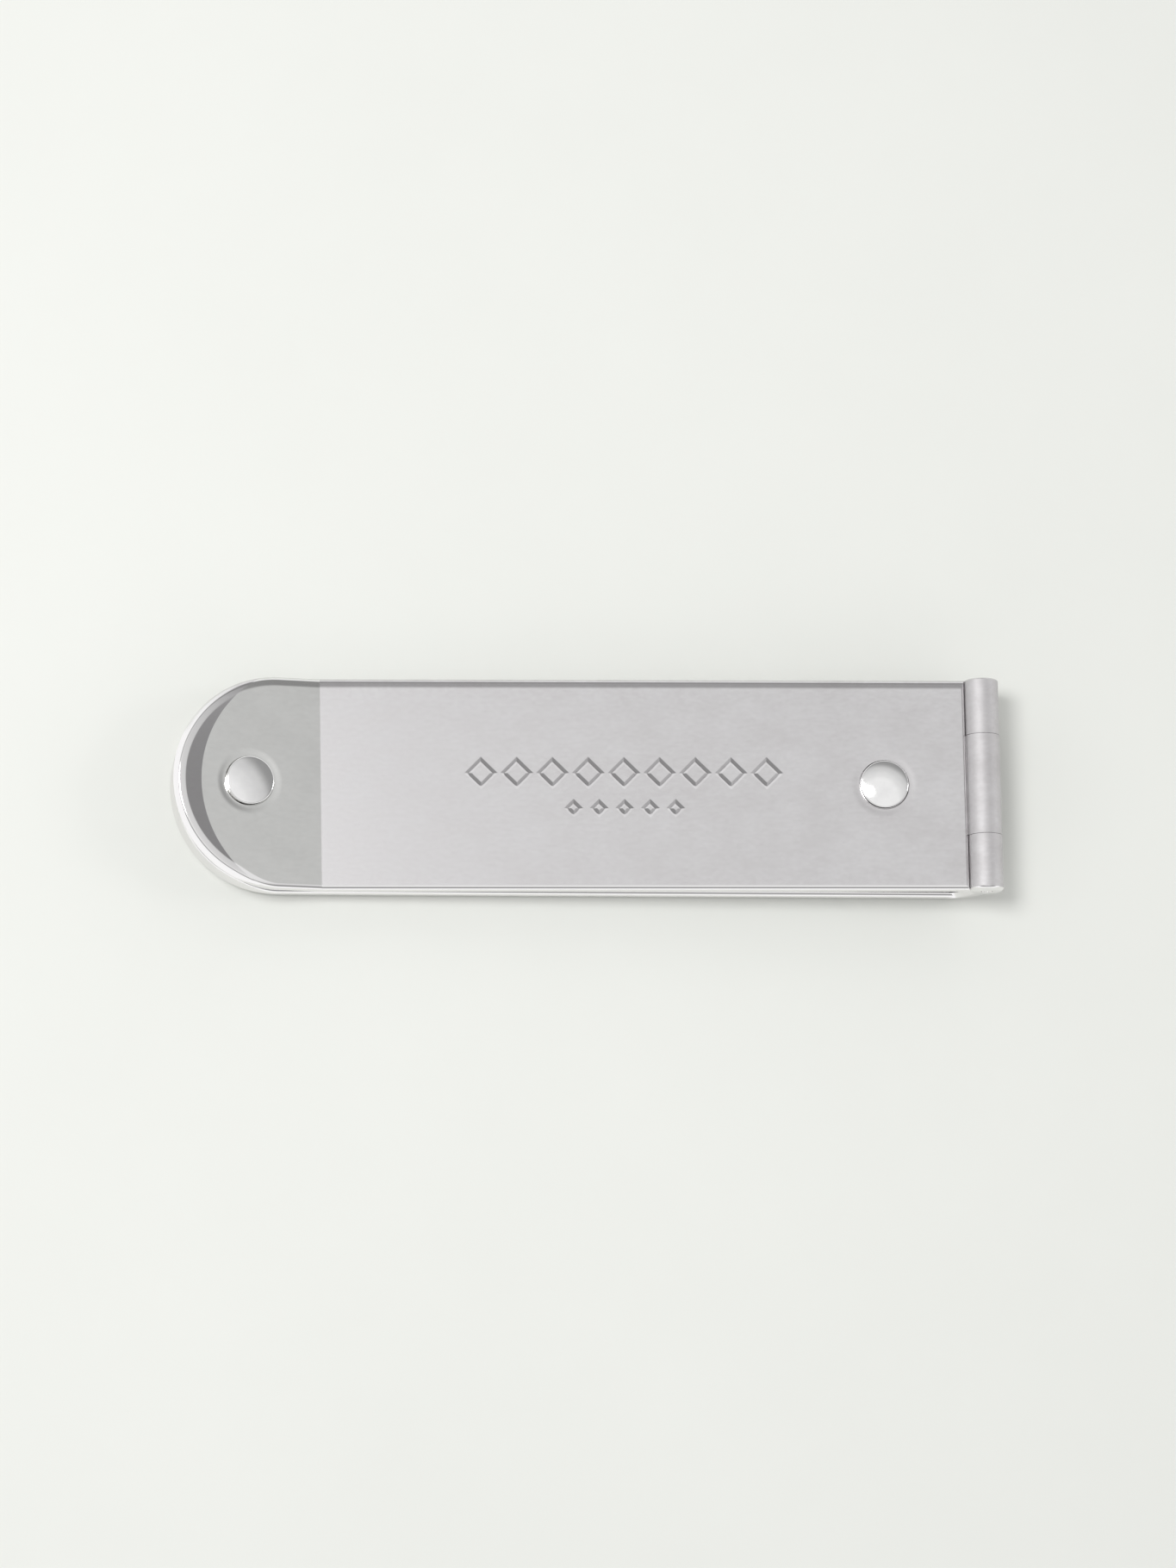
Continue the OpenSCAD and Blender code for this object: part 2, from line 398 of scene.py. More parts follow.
def run_point(x, y, n):
    """Point in the frame of the upper plate's straight run, whose origin is the hinge axis."""
    return (
        AXIS_X + x * cos(RUN_ANGLE) - n * sin(RUN_ANGLE),
        y,
        AXIS_Z + x * sin(RUN_ANGLE) + n * cos(RUN_ANGLE),
    )


def flare_point(x, y, n):
    """Point in the frame of the bent-up tip, whose origin is the middle of the bend line."""
    return (
        BEND_X + x * cos(FLARE) + n * sin(FLARE),
        y,
        BEND_Z - x * sin(FLARE) + n * cos(FLARE),
    )


RIVETS = [
    {"node": "tip_rivet", "point": flare_point, "x": -TIP_RIVET, "tilt": FLARE, "dome": 17.0},
    {"node": "hinge_rivet", "point": run_point, "x": -HINGE_RIVET, "tilt": -RUN_ANGLE, "dome": 8.5},
]


def seat_depth(x, y):
    """Depth of the dished seats round the rivet heads, with a tight crevice against each head."""
    depth = np.zeros_like(x)
    for rivet in RIVETS:
        centre = rivet["point"](rivet["x"], 0, HALF_T)[0]
        reach = np.hypot((x - centre) / cos(rivet["tilt"]), y)
        share = np.clip((reach - SEAT_IN) / (SEAT_OUT - SEAT_IN), 0, 1)
        depth += SEAT_DEPTH * (1 + np.cos(pi * share)) / 2
        depth += CREVICE_DEPTH * np.clip((SEAT_IN - reach) / (SEAT_IN - HEAD_R), 0, 1)
    return depth


def lozenges():
    """Centre and height of each lozenge of the ornament."""
    for row in ROWS:
        for i in range(row["count"]):
            shift = (i - (row["count"] - 1) / 2) * row["pitch"]
            yield ENGRAVE_X + shift, row["y"], row["height"]


def engrave_depth(x, y):
    """Depth of the engraved lines, which are V-shaped."""
    depth = np.zeros_like(x)
    half_line = ENGRAVE_LINE / sqrt(2)
    for cx, cy, height in lozenges():
        away = np.abs(np.abs(x - cx) + np.abs(y - cy) - (height / 2 - half_line))
        depth += ENGRAVE_DEPTH * np.clip(1 - away / half_line, 0, 1)
    return depth


def upper_end_drop(x):
    """Easing of the end that lies along the barrel."""
    return eased_drop(np.maximum(AXIS_X + GROOVE_X * cos(RUN_ANGLE) - x, 0), END_ROUND)


def upper_top(x, y):
    """Points of the upper plate's top face."""
    drop = np.maximum(edge_drops(x, y, UPPER_STEEP)[0], upper_end_drop(x))
    z = upper_mid(x, y) + HALF_T - drop - seat_depth(x, y) - engrave_depth(x, y)
    return np.stack([x, y, z], 1)


def upper_bottom(x, y):
    """Points of the upper plate's bottom face."""
    drop = np.maximum(edge_drops(x, y, UPPER_STEEP)[1], upper_end_drop(x))
    return np.stack([x, y, upper_mid(x, y) - HALF_T + drop], 1)


def rivet_centre(rivet, n=0):
    """X of a rivet's axis at one height in its own frame."""
    return rivet["point"](rivet["x"], 0, n)[0]


def drop_holes(plan, tris, centres, radius):
    """Removes the triangles inside round holes."""
    middle = plan[tris].mean(1)
    keep = np.ones(len(tris), bool)
    for cx in centres:
        keep &= np.hypot(middle[:, 0] - cx, middle[:, 1]) > radius
    return tris[keep]


def upper_plan():
    """Triangles of the upper plate in plan: edge rings, lip, bend, rivet seats and engraving."""
    end = AXIS_X + GROOVE_X * cos(RUN_ANGLE)
    eased = [end - END_ROUND * (1 - sin(radians(a))) for a in (90, 72, 54, 36, 18, 0)]
    far = np.linspace(end - 1, BEND_X, 32)
    tip = np.linspace(BEND_X, TIP_CENTRE_X, 4)[1:]
    stations = eased + [float(x) for x in far] + [float(x) for x in tip]
    lines = [(outline(0, stations), True)]
    lines += [(outline(share, stations), False) for share in RINGS[1:]]
    lines += [(crossing(x), False) for x in eased[1:] + [BEND_X]]
    turn = np.linspace(radians(90), radians(270), 121)
    lip = [(BEND_X + LIP_R * cos(a) * cos(FLARE), LIP_R * sin(a)) for a in turn]
    lip = [p for p in lip if rim_distance(np.array(p[0]), np.array(p[1])) > 0.02]
    lines.append((lip, False))
    for rivet in RIVETS:
        lines.append((circle(rivet_centre(rivet), 0, RIVET_HOLE_R), True))
        top = rivet_centre(rivet, HALF_T)
        for radius in [HEAD_R, *np.linspace(SEAT_IN, SEAT_OUT, 9)]:
            lines.append((circle(top, 0, radius, 96, cos(rivet["tilt"])), True))
    half_line = ENGRAVE_LINE / sqrt(2)
    for cx, cy, height in lozenges():
        for step in (0, 1, 2):
            r = height / 2 - step * half_line
            lines.append(([(cx + r, cy), (cx, cy + r), (cx - r, cy), (cx, cy - r)], True))
    inside = lambda x, y: edge_share(x, y) > 1 and x < end - 0.5
    plan, tris = triangulate(lines, fill_points(lines, inside, spacing=1.1))
    return plan, drop_holes(plan, tris, [rivet_centre(r) for r in RIVETS], RIVET_HOLE_R * 0.99)


def tube(name, y_from, y_to, bore, near=SPLIT_ROUND, far=SPLIT_ROUND):
    """Knuckle round the hinge axis. The rounding of each end is given."""
    def place(r, angle, h):
        return (AXIS_X + r * cos(angle), h, AXIS_Z + r * sin(angle))
    turn = [radians(a) for a in (0, 15, 30, 45, 60, 75, 90)]
    profile = [
        (bore, y_from + SPLIT_ROUND),
        (bore, y_to - SPLIT_ROUND),
        (bore + SPLIT_ROUND, y_to),
    ]
    profile += [(BARREL_R - far * (1 - sin(a)), y_to - far * (1 - cos(a))) for a in turn]
    profile += [(BARREL_R - near * (1 - cos(a)), y_from + near * (1 - sin(a))) for a in turn]
    profile.append((bore + SPLIT_ROUND, y_from))
    return revolve(name, profile, place, 120)


def tongue():
    """Block that carries the centre knuckle out of the upper plate's end."""
    across = (-TONGUE_HALF_W, TONGUE_HALF_W)
    corners = [(x, y, n) for x in TONGUE_X for y in across for n in (-TONGUE_HALF_T, TONGUE_HALF_T)]
    faces = [(0, 1, 3, 2), (4, 6, 7, 5), (0, 4, 5, 1), (2, 3, 7, 6), (0, 2, 6, 4), (1, 5, 7, 3)]
    return make_object("tongue", [run_point(*c) for c in corners], faces)


def build_upper_plate():
    plan, tris = upper_plan()
    plate = make_object("upper_plate_body", *solid_between(plan, tris, upper_top, upper_bottom))
    half = KNUCKLE_Y - KNUCKLE_GAP / 2
    knuckle = tube("knuckle", -half, half, PIN_R + PIN_CLEARANCE)
    return finish_shading(join_solids(plate, [tongue(), knuckle]), SHARP_ANGLE)


# ---------------------------------------------------------------- lower plate
def lower_path(s):
    """Middle line of the lower plate by length along it: x, z and slope."""
    turn = np.clip((s - SWEEP_X) / SWEEP_R, 0, SWEEP_ANGLE)
    rise = np.maximum(s - SWEEP_X - SWEEP_ARC, 0)
    x = np.minimum(s, SWEEP_X) + SWEEP_R * np.sin(turn) + rise * cos(SWEEP_ANGLE)
    z = HALF_T + SWEEP_R * (1 - np.cos(turn)) + rise * sin(SWEEP_ANGLE)
    return x, z, turn


def lower_side(sign):
    """Top face (sign 1) or bottom face (sign -1) of the lower plate, rounded along the notch."""
    def surface(s, y):
        x, z, turn = lower_path(s)
        notch = np.hypot(np.clip(NOTCH_X - s, 0, None), np.clip(np.abs(y) - NOTCH_Y, 0, None))
        tuck = END_TUCK * np.clip((s - LOWER_END + 0.5) / 0.5, 0, 1)
        edge = edge_drops(s, y, LOWER_STEEP)[0 if sign > 0 else 1]
        drop = np.maximum(edge, eased_drop(notch, NOTCH_ROUND)) + tuck
        inside = 1 - SIDE_DRAW * np.clip(s - SIDE_DRAW_X, 0, 1)
        n = sign * (HALF_T - np.minimum(drop, PLATE_T - RIM_WALL))
        return np.stack([x - n * np.sin(turn), y * inside, z + n * np.cos(turn)], 1)
    return surface


def lower_plan():
    """Triangles of the lower plate by length along it and by Y: edge rings, bend and notch."""
    bend = [SWEEP_X + SWEEP_ARC * i / 12 for i in range(13)]
    rise = [float(x) for x in np.linspace(LOWER_END - 0.5, LOWER_END, 5)]
    far = [float(x) for x in np.linspace(SWEEP_X - 1, TIP_CENTRE_X, 32)]
    stations = sorted(set(far + bend + rise), reverse=True)
    notch = [(LOWER_END, NOTCH_Y), (NOTCH_X, NOTCH_Y), (NOTCH_X, -NOTCH_Y), (LOWER_END, -NOTCH_Y)]
    lines = [(outline(0, stations) + notch[::-1], True)]
    lines += [(outline(share, stations), False) for share in RINGS[1:]]
    for grow in [NOTCH_ROUND * (1 - sin(radians(a))) for a in (72, 54, 36, 18, 0)]:
        edge = NOTCH_Y + grow
        turn = [(NOTCH_X - grow * sin(a), NOTCH_Y + grow * cos(a)) for a in np.linspace(0, pi / 2, 6)]
        half = [(LOWER_END, edge)] + turn
        lines.append((half + [(x, -y) for x, y in reversed(half)], False))
    for s in bend + rise:
        inner = NOTCH_Y if s > NOTCH_X else 0
        lines.append(([(s, HALF_W), (s, inner)], False))
        lines.append(([(s, -HALF_W), (s, -inner)], False))
    inside = lambda x, y: edge_share(x, y) > 1 and x < SWEEP_X - 0.8
    return triangulate(lines, fill_points(lines, inside, spacing=1.6))


def gusset(side):
    """Solid corner between the turned-up sheet and an outer knuckle, on one side of the clip."""
    bevelled = [
        (x + 0.6 * GUSSET_BEVEL, max(z - 0.8 * GUSSET_BEVEL, GUSSET_FLOOR)) for x, z in GUSSET_SLOPE
    ]
    outer_y = HALF_W - GUSSET_INSET
    rows = [
        (GUSSET_INNER_Y, GUSSET_SLOPE + GUSSET_BACK),
        (outer_y - GUSSET_BEVEL, GUSSET_SLOPE + GUSSET_BACK),
        (outer_y, bevelled + GUSSET_BACK),
    ]
    verts = [(x, side * y, z) for y, row in rows for x, z in row]
    count = len(rows[0][1])
    faces = [tuple(range(count)), tuple(reversed(range(2 * count, 3 * count)))]
    for k in (0, 1):
        for i in range(count):
            j = (i + 1) % count
            faces.append((k * count + i, (k + 1) * count + i, (k + 1) * count + j, k * count + j))
    if side > 0:
        faces = [face[::-1] for face in faces]
    return make_object("gusset", verts, faces)


def build_lower_plate():
    plan, tris = lower_plan()
    plate = make_object("lower_plate_body", *solid_between(plan, tris, lower_side(1), lower_side(-1)))
    inner = KNUCKLE_Y + KNUCKLE_GAP / 2
    near = tube("near_knuckle", -HALF_W, -inner, PIN_R, near=NEAR_ROUND)
    far = tube("far_knuckle", inner, HALF_W, PIN_R, far=FAR_END_ROUND)
    made = join_solids(plate, [near, far, gusset(-1), gusset(1)])
    return finish_shading(made, SHARP_ANGLE)


# ---------------------------------------------------------------- leaf spring
def leaf_outline(inset):
    """Plan of the spring: arched end, strip, and a wider head with eased corners."""
    end_x = BEND_X - (TIP_RIVET + LEAF_END_L) * cos(FLARE) + inset
    half = LEAF_HALF_W - inset
    head = LEAF_HEAD_HALF_W - inset
    head_x = AXIS_X - HINGE_RIVET + inset
    last_x = LEAF_HEAD_X - inset
    radius = LEAF_END_R - inset
    reach = np.arcsin(half / radius)
    side = [(last_x, head)]
    for a in np.linspace(0, pi / 2, 7):
        side.append((head_x + LEAF_CORNER * (1 - sin(a)), head - LEAF_CORNER * (1 - cos(a))))
    side += [(head_x, half)]
    side += [(x, half) for x in (18.0, 12.0, 6.0, 0.0, -6.0, -12.0, -17.0)]
    side += [(BEND_X, half), (-23.0, half)]
    arch = [(end_x + radius * (1 - cos(a)), radius * sin(a)) for a in np.linspace(reach, -reach, 33)]
    return side + arch + [(x, -y) for x, y in reversed(side)]


def build_leaf_spring():
    """Strip that follows the underside of the upper plate, with its rims eased."""
    centre = HALF_T + LEAF_T / 2
    lines = [(leaf_outline(0), True), (leaf_outline(LEAF_EASE), True)]
    lines.append(([(BEND_X, LEAF_HALF_W), (BEND_X, -LEAF_HALF_W)], False))
    for rivet in RIVETS:
        lines.append((circle(rivet_centre(rivet, -HALF_T), 0, RIVET_HOLE_R), True))
    rim = {(round(float(x), 4), round(float(y), 4)) for x, y in leaf_outline(0)}

    def half_t(x, y):
        on_rim = [(round(float(a), 4), round(float(b), 4)) in rim for a, b in zip(x, y)]
        return LEAF_T / 2 - 0.003 - LEAF_EASE * np.array(on_rim, float)

    inside = lambda x, y: abs(y) < LEAF_HALF_W - 0.4 and -29 < x < 29
    plan, tris = triangulate(lines, fill_points(lines, inside, spacing=1.5))
    tris = drop_holes(plan, tris, [rivet_centre(r, -HALF_T) for r in RIVETS], RIVET_HOLE_R * 0.99)
    top = lambda x, y: np.stack([x, y, upper_mid(x, y) - centre + half_t(x, y)], 1)
    bottom = lambda x, y: np.stack([x, y, upper_mid(x, y) - centre - half_t(x, y)], 1)
    strip = make_object("leaf_spring_strip", *solid_between(plan, tris, top, bottom))
    return finish_shading(strip, LEAF_SHARP_ANGLE)


# ---------------------------------------------------------------- rivets and pin
def rivet_profile(dome):
    """Half section of a rivet: low dome, rolled edge, shank, and flattened tail."""
    top = HALF_T + HEAD_H
    edge_r = HEAD_R - HEAD_ROLL
    start = np.arcsin(edge_r / dome)
    profile = [(dome * sin(a), top - dome * (1 - cos(a))) for a in np.linspace(0, start, 16)]
    edge_h = profile[-1][1]
    for a in np.linspace(start, radians(90), 14)[1:]:
        roll_r = edge_r + HEAD_ROLL * (sin(a) - sin(start))
        profile.append((roll_r, edge_h + HEAD_ROLL * (cos(a) - cos(start))))
    under = HALF_T - SEAT_DEPTH - CREVICE_DEPTH - 0.01
    tail_top = -HALF_T - LEAF_T
    profile += [(profile[-1][0], under), (SHANK_R, under), (SHANK_R, tail_top)]
    profile += [(TAIL_R - 0.03, tail_top), (TAIL_R, tail_top - 0.03)]
    low = tail_top - TAIL_H + 0.05
    for a in np.linspace(0, pi / 2, 7):
        profile.append((TAIL_R - TAIL_ROUND * (1 - cos(a)), low + TAIL_ROUND * (1 - sin(a))))
    profile += [(0.8, low - 0.03), (0.4, low - 0.045), (0, low - 0.05)]
    return profile


def build_rivet(rivet):
    """Rivet standing square on its stretch of the upper plate."""
    def place(r, angle, h):
        return rivet["point"](rivet["x"] + r * cos(angle), -r * sin(angle), h)
    made = revolve(rivet["node"] + "_head", rivet_profile(rivet["dome"]), place, 96)
    return finish_shading(made, SHARP_ANGLE)


def build_pin():
    """Pin with eased, slightly crowned ends."""
    def place(r, angle, h):
        return (AXIS_X + r * cos(angle), -h, AXIS_Z + r * sin(angle))
    radius = PIN_R - 0.01
    end = HALF_W - 0.03
    ease = 0.08
    cap = [(0, end), (0.2, end - 0.006), (radius - ease, end - 0.02), (radius, end - 0.02 - ease)]
    profile = cap + [(r, -h) for r, h in reversed(cap)]
    return finish_shading(revolve("hinge_pin_rod", profile, place, 64), SHARP_ANGLE)


# ---------------------------------------------------------------- materials
# Colours where the satin metal is more and less marked. The barrel's pair is painted darker as shade,
# and the polished edges' colour is painted lighter as a highlight.
PLATE_COLOURS = (0.62, 0.605, 0.61), (0.69, 0.68, 0.687)
TIP_COLOURS = (0.74, 0.74, 0.725), (0.785, 0.785, 0.77)
SHADED_BARREL_COLOURS = (0.54, 0.525, 0.53), (0.60, 0.59, 0.595)
EDGE_SHEEN_COLOUR = (0.88, 0.87, 0.87)
SPRING_COLOURS = (0.36, 0.365, 0.375), (0.27, 0.27, 0.27)
POLISHED_COLOURS = (0.97, 0.965, 0.96), (0.91, 0.905, 0.905)
FLOOR_COLOURS = (0.745, 0.755, 0.72), (0.765, 0.775, 0.74)


class Nodes:
    """Short hand for building one material's node tree."""

    def __init__(self, name):
        self.material = bpy.data.materials.new(name)
        self.material.use_nodes = True
        self.tree = self.material.node_tree
        self.shader = self.tree.nodes["Principled BSDF"]

    def add(self, kind, **values):
        node = self.tree.nodes.new(kind)
        for key, value in values.items():
            setattr(node, key, value)
        return node

    def link(self, out, into):
        self.tree.links.new(out, into)

    def coords(self, scale, turn=0.0):
        """Object coordinates in millimetres, scaled along each axis and turned about Z."""
        source = self.add("ShaderNodeTexCoord")
        mapping = self.add("ShaderNodeMapping")
        mapping.inputs["Scale"].default_value = [s / MM for s in scale]
        mapping.inputs["Rotation"].default_value = (0, 0, radians(turn))
        self.link(source.outputs["Object"], mapping.inputs["Vector"])
        return mapping.outputs["Vector"]

    def noise(self, scale, turn=0.0, detail=3.0, rough=0.5):
        node = self.add("ShaderNodeTexNoise")
        node.inputs["Scale"].default_value = 1.0
        node.inputs["Detail"].default_value = detail
        node.inputs["Roughness"].default_value = rough
        self.link(self.coords(scale, turn), node.inputs["Vector"])
        return node.outputs["Fac"]

    def remap(self, value, low, high, to_low, to_high):
        node = self.add("ShaderNodeMapRange")
        node.inputs["From Min"].default_value = low
        node.inputs["From Max"].default_value = high
        node.inputs["To Min"].default_value = to_low
        node.inputs["To Max"].default_value = to_high
        self.link(value, node.inputs["Value"])
        return node.outputs["Result"]

    def math(self, operation, one, two):
        node = self.add("ShaderNodeMath", operation=operation)
        for socket, value in zip(node.inputs, (one, two)):
            if isinstance(value, (int, float)):
                socket.default_value = value
            else:
                self.link(value, socket)
        return node.outputs["Value"]

    def mix_colour(self, share, one, two):
        node = self.add("ShaderNodeMix", data_type="RGBA")
        self.link(share, node.inputs["Factor"])
        for name, value in (("A", one), ("B", two)):
            socket = [s for s in node.inputs if s.name == name and s.type == "RGBA"][0]
            if isinstance(value, tuple):
                socket.default_value = (*value, 1)
            else:
                self.link(value, socket)
        return [s for s in node.outputs if s.type == "RGBA"][0]

    def attribute(self, name):
        return self.add("ShaderNodeAttribute", attribute_name=name).outputs["Fac"]

    def bump(self, height, strength, distance, normal=None):
        node = self.add("ShaderNodeBump")
        node.inputs["Strength"].default_value = strength
        node.inputs["Distance"].default_value = distance * MM
        self.link(height, node.inputs["Height"])
        if normal is not None:
            self.link(normal, node.inputs["Normal"])
        return node.outputs["Normal"]


def satin_plate():
    """Satin sheet with cloudy handling marks, hair scratches, polished edges painted lighter as a
    highlight, a smoother tip, and a rougher barrel painted darker as shade."""
    n = Nodes("satin_plate")
    barrel = n.attribute("barrel")
    polish_and_sheen = n.math("MULTIPLY", n.attribute("polish_and_sheen"), n.math("SUBTRACT", 1.0, barrel))
    tip = n.attribute("tip")
    cloud = n.noise((0.3, 0.45, 0.45), detail=3, rough=0.6)
    grain = n.noise((1.6, 3.2, 3.2), detail=3, rough=0.6)
    hairs = n.remap(n.noise((0.3, 22, 22), turn=11, detail=2), 0.71, 0.78, 0.0, 1.0)
    crosses = n.remap(n.noise((0.4, 26, 26), turn=-58, detail=2), 0.72, 0.78, 0.0, 1.0)
    scratches = n.math("MAXIMUM", hairs, crosses)
    marks = n.remap(n.math("ADD", cloud, n.math("MULTIPLY", grain, 0.7)), 0.6, 1.1, 0, 1)
    plate = n.mix_colour(marks, *PLATE_COLOURS)
    tipped = n.mix_colour(marks, *TIP_COLOURS)
    colour = n.mix_colour(tip, plate, tipped)
    # The barrel gets a darker copy of the sheet's colours: painted shade.
    rolled = n.mix_colour(marks, *SHADED_BARREL_COLOURS)
    colour = n.mix_colour(barrel, colour, rolled)
    # Edges near the rim get a lighter colour: a painted highlight on top of their real polish.
    n.link(n.mix_colour(polish_and_sheen, colour, EDGE_SHEEN_COLOUR), n.shader.inputs["Base Color"])
    satin = n.remap(marks, 0, 1, 0.22, 0.185)
    level = n.math("SUBTRACT", satin, n.math("MULTIPLY", tip, 0.05))
    keep = n.math("SUBTRACT", 1.0, n.math("MULTIPLY", polish_and_sheen, 0.5))
    rough = n.math("ADD", n.math("MULTIPLY", level, keep), n.math("MULTIPLY", scratches, 0.02))
    rough = n.math("ADD", rough, n.math("MULTIPLY", barrel, 0.45))
    n.link(rough, n.shader.inputs["Roughness"])
    n.link(n.bump(scratches, 0.03, 0.002, n.bump(grain, 0.04, 0.003)), n.shader.inputs["Normal"])
    n.shader.inputs["Metallic"].default_value = 1.0
    return n.material


def spring_strip():
    """Cold-rolled spring steel with rolling lines along the strip and faint oily stains."""
    n = Nodes("spring_strip")
    lines = n.noise((0.08, 9, 9), detail=5)
    stain = n.noise((0.3, 0.4, 0.4), detail=4, rough=0.65)
    colour = n.mix_colour(n.remap(stain, 0.35, 0.7, 0, 1), *SPRING_COLOURS)
    n.link(colour, n.shader.inputs["Base Color"])
    n.link(n.remap(lines, 0.3, 0.7, 0.24, 0.4), n.shader.inputs["Roughness"])
    n.link(n.bump(lines, 0.2, 0.004), n.shader.inputs["Normal"])
    n.shader.inputs["Metallic"].default_value = 1.0
    return n.material


def polished_metal(name, stretch):
    """Mirror-polished metal with fine polishing hairs and a breath of smudge."""
    n = Nodes(name)
    hair = n.noise(stretch, detail=3)
    smudge = n.noise((0.7, 0.7, 0.7), detail=3, rough=0.6)
    colour = n.mix_colour(n.remap(smudge, 0.35, 0.7, 0, 1), *POLISHED_COLOURS)
    n.link(colour, n.shader.inputs["Base Color"])
    rough = n.math("ADD", n.remap(smudge, 0.35, 0.7, 0.05, 0.1), n.remap(hair, 0.4, 0.75, 0, 0.04))
    n.link(rough, n.shader.inputs["Roughness"])
    n.link(n.bump(hair, 0.05, 0.002), n.shader.inputs["Normal"])
    n.shader.inputs["Metallic"].default_value = 1.0
    return n.material


def pale_floor():
    """Plain off-white table with a barely visible grain."""
    n = Nodes("pale_floor")
    grain = n.noise((0.02, 0.02, 0.02), detail=5, rough=0.7)
    colour = n.mix_colour(n.remap(grain, 0.3, 0.7, 0, 1), *FLOOR_COLOURS)
    n.link(colour, n.shader.inputs["Base Color"])
    n.shader.inputs["Roughness"].default_value = 0.7
    n.shader.inputs["Specular IOR Level"].default_value = 0.2
    return n.material


def mesh_array(items, key, width=3):
    """Reads one property of a mesh's vertices, faces or corners as an array."""
    values = np.zeros(len(items) * width)
    items.foreach_get(key, values)
    return values.reshape(-1, width) if width > 1 else values


def mark_surface(piece, has_tip):
    """Writes what the satin material reads: polished edges, which are also painted lighter as a
    highlight, the smoother tip, and the barrel, which is painted darker as shade.
    """
    mesh = piece.data
    points = mesh_array(mesh.vertices, "co") / MM
    # Near side's and tip's edges: polished, and painted lighter as a highlight. The far edge is left out.
    polish_and_sheen = np.clip((0.99 - edge_share(points[:, 0], points[:, 1])) / 0.09, 0, 1)
    polish_and_sheen *= 1 - edge_kind(points[:, 0], points[:, 1])[1]
    middle = mesh_array(mesh.polygons, "center") / MM
    normal = mesh_array(mesh.polygons, "normal")
    reach = np.hypot((BEND_X - middle[:, 0]) / cos(FLARE), middle[:, 1])
    tip = (middle[:, 0] < BEND_X) & (reach < LIP_R) & has_tip
    radial = middle[:, [0, 2]] - (AXIS_X, AXIS_Z)
    away = np.hypot(radial[:, 0], radial[:, 1])
    facing = (radial * normal[:, [0, 2]]).sum(1) / away
    barrel = (np.abs(away - BARREL_R) < ON_SURFACE) & (facing > BARREL_FACING)
    marks = (("polish_and_sheen", "POINT", polish_and_sheen), ("tip", "FACE", tip), ("barrel", "FACE", barrel))
    for name, domain, values in marks:
        layer = mesh.attributes.new(name, "FLOAT", domain)
        layer.data.foreach_set("value", values.astype(np.float32))


def shade_exactly(piece, top=None, bottom=None):
    """Gives the corners that lie on the sheet's faces or on the barrel those surfaces' true
    normals. The others keep their own."""
    mesh = piece.data
    points = mesh_array(mesh.vertices, "co") / MM
    middle = mesh_array(mesh.polygons, "center") / MM
    normal = mesh_array(mesh.polygons, "normal")
    corners_of = mesh_array(mesh.polygons, "loop_total", 1).astype(int)
    face_of = np.repeat(np.arange(len(mesh.polygons)), corners_of)
    vertex_of = mesh_array(mesh.loops, "vertex_index", 1).astype(int)
    corner = points[vertex_of]
    inner = corner + 0.02 * (middle[face_of] - corner)
    custom = np.zeros_like(corner)
    step = 1e-6
    for sign, surface in ((1, top), (-1, bottom)):
        if surface is None:
            continue
        x, y = inner[:, 0], inner[:, 1]
        along = surface(x + step, y) - surface(x - step, y)
        across = surface(x, y + step) - surface(x, y - step)
        exact = sign * np.cross(along, across)
        exact /= np.linalg.norm(exact, axis=1)[:, None]
        off = np.abs(surface(corner[:, 0], corner[:, 1])[:, 2] - corner[:, 2])
        worst = np.zeros(len(mesh.polygons))
        np.maximum.at(worst, face_of, off)
        on_sheet = (worst[face_of] < ON_SURFACE) & ((exact * normal[face_of]).sum(1) > 0.9)
        custom[on_sheet] = exact[on_sheet]
    radial = np.zeros_like(corner)
    radial[:, 0] = corner[:, 0] - AXIS_X
    radial[:, 2] = corner[:, 2] - AXIS_Z
    away = np.linalg.norm(radial, axis=1)
    radial /= np.maximum(away, 1e-9)[:, None]
    facing = (radial * normal[face_of]).sum(1)
    rolled = (np.abs(away - BARREL_R) < ON_SURFACE) & (facing > BARREL_FACING)
    rolled &= np.abs(normal[face_of][:, 1]) < 0.05
    custom[rolled] = radial[rolled]
    mesh.normals_split_custom_set([tuple(float(c) for c in v) for v in custom])


def dress(piece, material, body, node):
    """Gives a piece its material, hangs it on the body that it rides on, and hides the CAD part that it
    stands for.
    """
    piece.data.materials.clear()
    piece.data.materials.append(material)
    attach(piece, body)
    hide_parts(node)


# ---------------------------------------------------------------- camera and light
# The camera looks down from in front of the clip and from its left, and is turned a little.
CAMERA_FRONT = radians(12.4)
CAMERA_LEFT = radians(7)
CAMERA_ROLL = radians(-1.05)
CAMERA_DISTANCE = 600
FRAME_HEIGHT = 122.5
AIM = (0.05, 0.2, 2.0)
# Brightness of the studio dome at angles, in degrees, from its axis: pale overhead, darker at
# mid height and pale again down to the horizon and below.
DOME_AXIS = (0.0, -0.05, 1.0)
DOME_STRENGTH = 2.0
DOME = [(0, 0.43), (19, 0.43), (25, 0.37), (31, 0.32), (38, 0.15), (51, 0.15), (59, 0.38), (67, 0.53)]
# The floor is this far below the clip, so that their faces don't lie in one plane.
FLOOR_HALF = 900
FLOOR_DROP = 0.03


